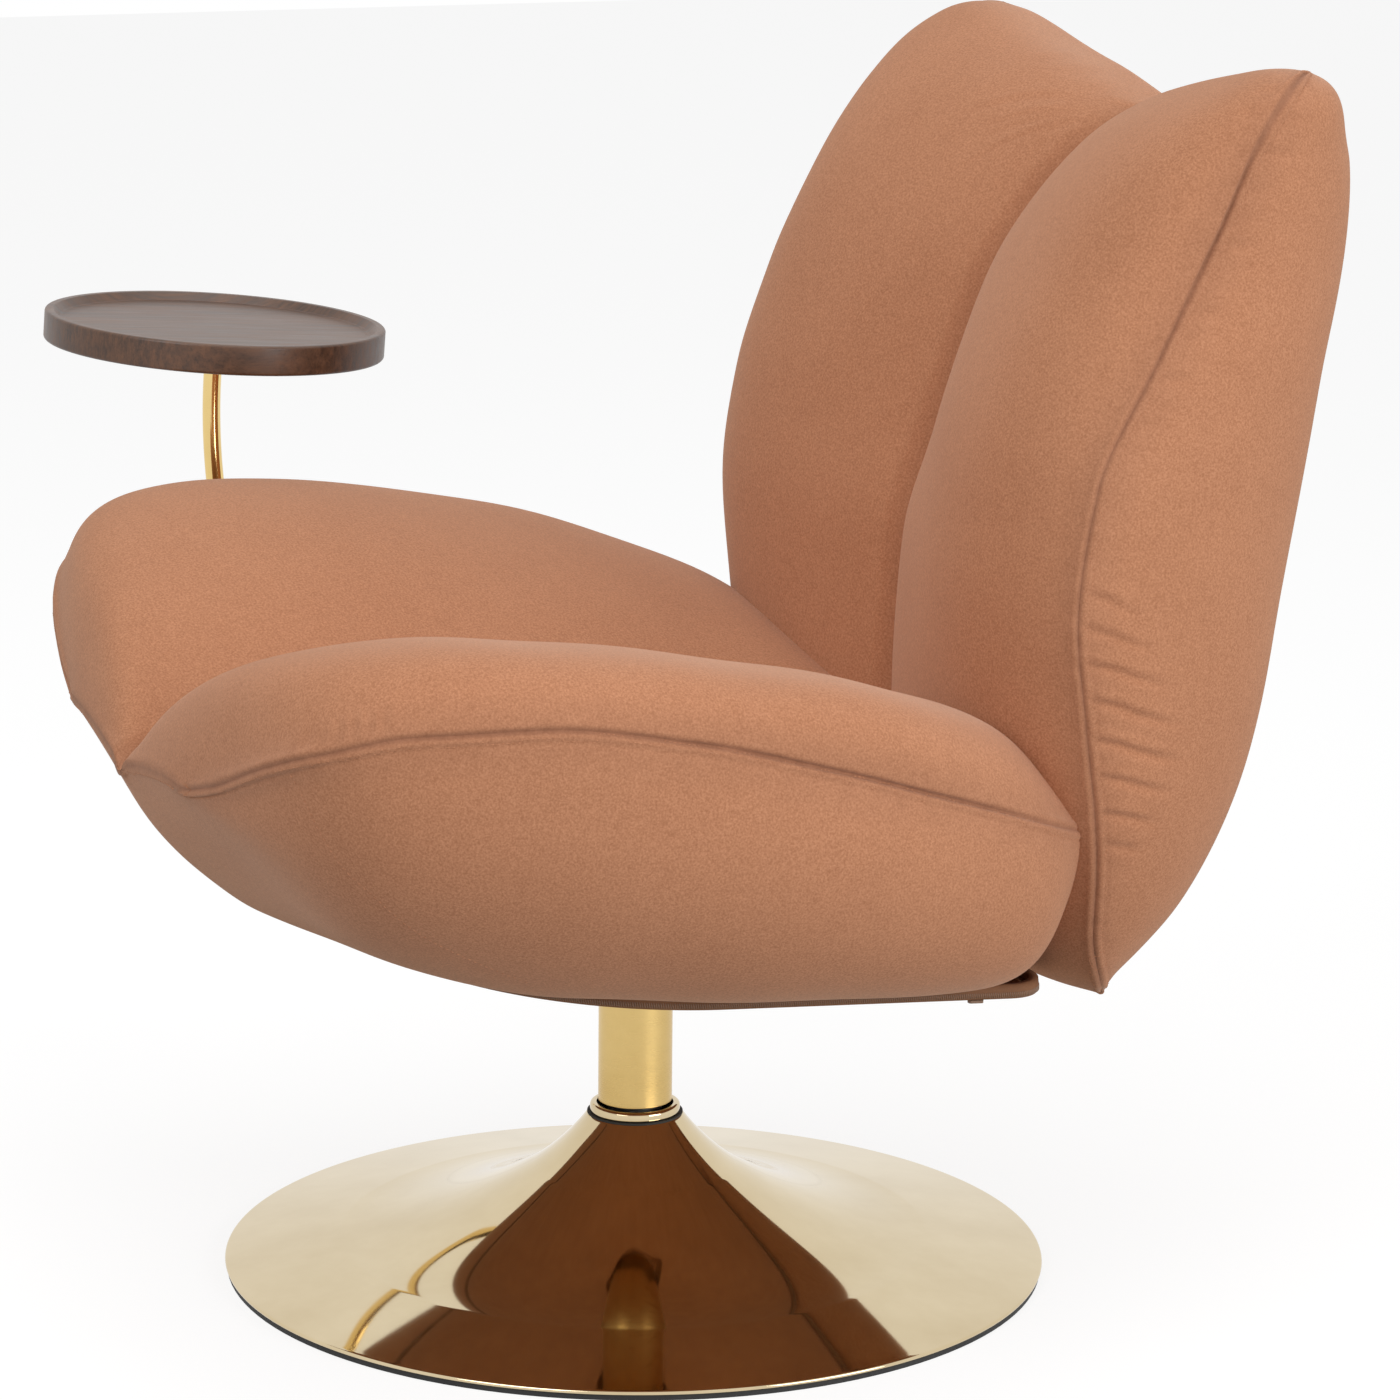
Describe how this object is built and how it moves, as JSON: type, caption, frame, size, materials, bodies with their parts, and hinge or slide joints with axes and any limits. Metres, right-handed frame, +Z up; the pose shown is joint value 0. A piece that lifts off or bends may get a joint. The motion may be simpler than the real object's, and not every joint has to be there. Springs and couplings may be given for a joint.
{
  "type": "pedestal swivel armchair",
  "caption": "Upholstered lounge chair with a twin-lobed seat and back on a swivelling brass column and round trumpet base, with a round wooden side tray on a bent brass arm.",
  "frame": {"origin": "middle of the round base's underside, on the column's axis", "axes": "+Z up the column; the sitter faces -Y; the sitter's left is +X and the tray is at -X"},
  "size_m": [0.9938, 0.8186, 0.889],
  "materials": {
    "mirror_brass": "mirror polished",
    "satin_brass": "fine brushed along the column",
    "tube_brass": "polished",
    "walnut": "satin oiled",
    "velvet": "short felted pile",
    "cover_cloth": "plain cloth",
    "zip_tape": "woven tape",
    "zip_metal": "satin",
    "black_rubber": "matt",
    "steel": "satin",
    "bearing_steel": "ground",
    "cast_iron": "painted",
    "black_steel": "powder coat",
    "bush_plastic": "matt",
    "plywood": "sanded"
  },
  "bodies": {
    "base": {"base_trumpet": "mirror_brass", "base_ground_mat": "black_rubber", "base_ballast_plate": "cast_iron", "centre_post": "steel", "post_flange_bolts": "steel", "collar_gasket": "black_rubber", "base_collar": "mirror_brass", "thrust_lower_race": "bearing_steel", "thrust_balls": "bearing_steel", "post_washer": "steel", "post_nut": "steel"},
    "seat": {"column_sleeve": "satin_brass", "lower_bush": "bush_plastic", "upper_bush": "bush_plastic", "thrust_upper_race": "bearing_steel", "seat_plate": "black_steel", "seat_plate_bolts": "steel", "seat_board": "plywood", "seat_cushion_left": "velvet", "seat_cushion_right": "velvet", "seat_bottom_cover": "cover_cloth", "seat_zip": "zip_tape", "seat_zip_slider": "zip_metal", "back_bracket_left": "black_steel", "back_bracket_right": "black_steel", "bracket_bolts": "steel", "back_board": "plywood", "back_board_bolts": "steel", "back_cushion_left": "velvet", "back_cushion_right": "velvet", "arm_socket": "black_steel", "arm_socket_screws": "steel", "arm_bush": "bush_plastic"},
    "tray_arm": {"arm_pivot": "tube_brass", "arm_clip": "steel", "tray_tube": "tube_brass", "tray_foot": "tube_brass", "tray_disc": "walnut", "tray_screws": "steel"}
  },
  "joints": [
    {"name": "seat_swivel", "type": "hinge", "parent": "base", "child": "seat", "pos_m": [0, 0, 0.2], "axis": [0, 0, 1], "continuous": true},
    {"name": "tray_swing", "type": "hinge", "parent": "seat", "child": "tray_arm", "pos_m": [-0.192, 0.0375, 0.25], "axis": [0, 0, 1], "range_deg": [-75, 0]}
  ]
}
